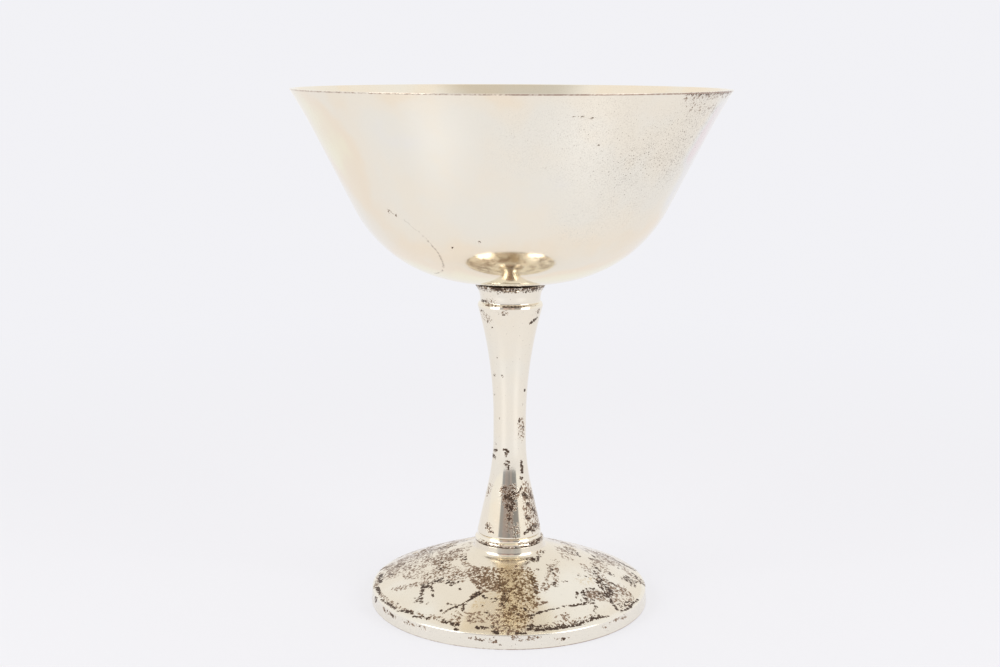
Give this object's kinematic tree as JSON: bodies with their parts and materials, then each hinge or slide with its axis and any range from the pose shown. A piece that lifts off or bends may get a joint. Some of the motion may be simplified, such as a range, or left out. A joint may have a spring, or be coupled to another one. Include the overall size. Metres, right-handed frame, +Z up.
{
  "type": "cup trophy",
  "caption": "Footed cup trophy: an open flared bowl on a slim waisted stem and a round domed foot, held together by a hidden stud and nut.",
  "frame": {"origin": "centre of the flat ring that the foot stands on", "axes": "+Z up along the axis of the cup; the cup is turned, so X and Y are alike"},
  "size_m": [0.1018, 0.1018, 0.124],
  "materials": {
    "bowl_silver": "silver plate over brass, polished, with a warm tarnish film",
    "stem_silver": "silver plate over brass, polished, with dark tarnish specks",
    "foot_silver": "silver plate over brass, heavily tarnished and worn",
    "bare_brass": "bare brass, dull",
    "zinc_steel": "zinc plated steel, dull",
    "spring_steel": "black oiled spring steel"
  },
  "bodies": {
    "root": {"bowl": "bowl_silver", "bowl_boss": "bare_brass", "top_collar": "stem_silver", "stem_tube": "stem_silver", "base_collar": "stem_silver", "foot_shell": "foot_silver", "tie_stud": "zinc_steel", "clamp_washer": "zinc_steel", "spring_washer": "spring_steel", "clamp_nut": "bare_brass"}
  },
  "joints": []
}
